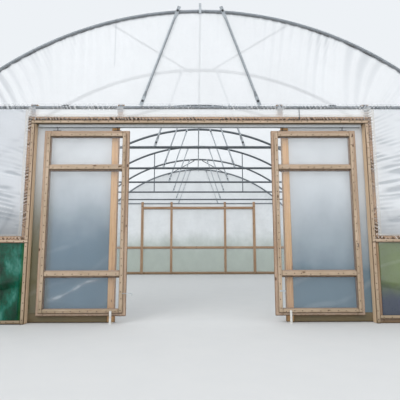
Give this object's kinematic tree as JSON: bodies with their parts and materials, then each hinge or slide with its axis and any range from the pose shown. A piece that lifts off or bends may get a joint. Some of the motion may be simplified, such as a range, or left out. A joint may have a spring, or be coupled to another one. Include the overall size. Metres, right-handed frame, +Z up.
{
  "type": "polytunnel greenhouse",
  "caption": "Walk-in film greenhouse on steel hoops, with a timber gable and a pair of sliding doors hung from a track.",
  "frame": {"origin": "on the ground, at the middle of the tunnel's length and width", "axes": "+Z up, +Y along the tunnel from the door gable to the rear gable, +X to the right as seen from in front of the doors"},
  "size_m": [9.757, 10.936, 4.49],
  "materials": {
    "galvanised_steel": "satin",
    "weathered_timber": "matte",
    "batten_timber": "matte",
    "polythene_film": "satin",
    "green_netting": "matte",
    "white_plastic": "matte"
  },
  "bodies": {
    "tunnel": {"front_hoop": "galvanised_steel", "hoop_2": "galvanised_steel", "hoop_3": "galvanised_steel", "hoop_4": "galvanised_steel", "hoop_5": "galvanised_steel", "hoop_6": "galvanised_steel", "rear_hoop": "galvanised_steel", "ridge_purlin": "galvanised_steel", "front_crossbar": "galvanised_steel", "inner_crossbars": "galvanised_steel", "rear_crossbar": "galvanised_steel", "front_struts": "galvanised_steel", "inner_struts": "galvanised_steel", "rear_struts": "galvanised_steel", "wind_braces": "galvanised_steel", "drop_struts": "galvanised_steel", "post_saddles": "galvanised_steel", "door_track": "galvanised_steel", "track_brackets": "galvanised_steel", "outer_posts": "weathered_timber", "header": "weathered_timber", "header_studs": "weathered_timber", "panel_head": "weathered_timber", "jamb_posts": "weathered_timber", "panel_stiles": "weathered_timber", "sill_boards": "weathered_timber", "gable_rails": "weathered_timber", "base_boards": "weathered_timber", "rear_posts": "weathered_timber", "rear_header": "weathered_timber", "rear_rails": "weathered_timber", "surround_battens": "batten_timber", "lower_battens": "batten_timber", "rear_battens": "batten_timber", "left_fixed_film": "polythene_film", "right_fixed_film": "polythene_film", "right_lower_film": "polythene_film", "front_gable_film": "polythene_film", "roof_film": "polythene_film", "rear_gable_film": "polythene_film", "left_vent_mesh": "green_netting", "door_guides": "white_plastic"},
    "left_door": {"left_door_frame": "weathered_timber", "left_door_film": "polythene_film", "left_door_battens": "batten_timber", "left_door_hangers": "galvanised_steel", "left_door_hook": "galvanised_steel"},
    "right_door": {"right_door_frame": "weathered_timber", "right_door_film": "polythene_film", "right_door_battens": "batten_timber", "right_door_hangers": "galvanised_steel", "right_door_hasp": "galvanised_steel", "right_door_pull": "galvanised_steel"}
  },
  "joints": [
    {"name": "left_door_slide", "type": "slide", "parent": "tunnel", "child": "left_door", "axis": [1, 0, 0], "range_m": [0, 0.983]},
    {"name": "right_door_slide", "type": "slide", "parent": "tunnel", "child": "right_door", "axis": [-1, 0, 0], "range_m": [0, 0.983]}
  ]
}
